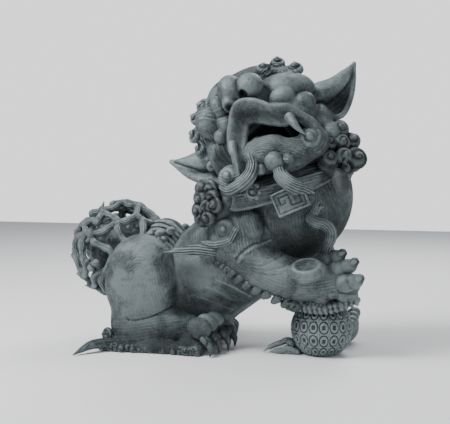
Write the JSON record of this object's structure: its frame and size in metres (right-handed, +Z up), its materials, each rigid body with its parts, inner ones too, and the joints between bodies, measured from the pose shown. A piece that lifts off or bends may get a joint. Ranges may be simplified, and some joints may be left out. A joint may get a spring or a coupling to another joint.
{
  "type": "foo dog statue",
  "caption": "Seated guardian lion statue, head turned and mouth open, one forepaw raised on a lattice ball, with snail-curl mane, thin pointed ears and an openwork curling tail.",
  "frame": {"origin": "centre of the footprint's bounding box, on the ground the statue stands on", "axes": "+X the way the lion's body faces, +Z up, -Y the flank that the head turns to and the ball side"},
  "size_m": [1.2908, 0.8358, 1.2147],
  "materials": {
    "green_grey_patina": "cast bronze under a rough grey-green patina",
    "worn_patina": "cast bronze, the patina rubbed paler on the raised parts",
    "dark_patina": "cast bronze, the patina dark in sheltered hollows"
  },
  "bodies": {
    "root": {"arm_fringe": "worn_patina", "chest_ribbon": "worn_patina", "chin_ball": "worn_patina", "collar": "worn_patina", "collar_plaque": "worn_patina", "collar_rosette": "worn_patina", "far_fore_toes": "worn_patina", "far_foreleg": "green_grey_patina", "far_forepaw": "green_grey_patina", "far_ground_fringe": "worn_patina", "far_heel_lock": "worn_patina", "far_hind_claws": "worn_patina", "far_hind_foot": "green_grey_patina", "far_hind_toes": "worn_patina", "far_shoulder_comma_lock": "worn_patina", "far_shoulder_flame_lock": "worn_patina", "far_thigh": "green_grey_patina", "forequarters": "green_grey_patina", "ground_ribbon": "worn_patina", "lattice_ball": "green_grey_patina", "left_beard_lock": "worn_patina", "left_brow": "worn_patina", "left_cheek": "worn_patina", "left_ear": "worn_patina", "left_eye": "worn_patina", "left_fang": "worn_patina", "left_mane": "dark_patina", "left_whisker_curl": "worn_patina", "lower_jaw": "green_grey_patina", "mane_drop_lock": "worn_patina", "nape_mane": "dark_patina", "near_foreleg": "green_grey_patina", "near_ground_fringe": "worn_patina", "near_heel_lock": "worn_patina", "near_hind_claws": "worn_patina", "near_hind_foot": "green_grey_patina", "near_hind_toes": "worn_patina", "near_paw_fur": "worn_patina", "near_thigh": "green_grey_patina", "near_toe_1": "worn_patina", "near_toe_2": "worn_patina", "near_toe_3": "worn_patina", "nose": "worn_patina", "right_brow": "worn_patina", "right_cheek": "worn_patina", "right_ear": "worn_patina", "right_eye": "worn_patina", "right_fang": "worn_patina", "right_mane": "dark_patina", "right_whisker_curl": "worn_patina", "shoulder_comma_lock": "worn_patina", "shoulder_flame_lock": "worn_patina", "skull": "green_grey_patina", "tail_core": "dark_patina", "tail_strands": "worn_patina", "torso": "green_grey_patina", "upper_lip": "worn_patina", "wrist_boss": "worn_patina"}
  },
  "joints": []
}
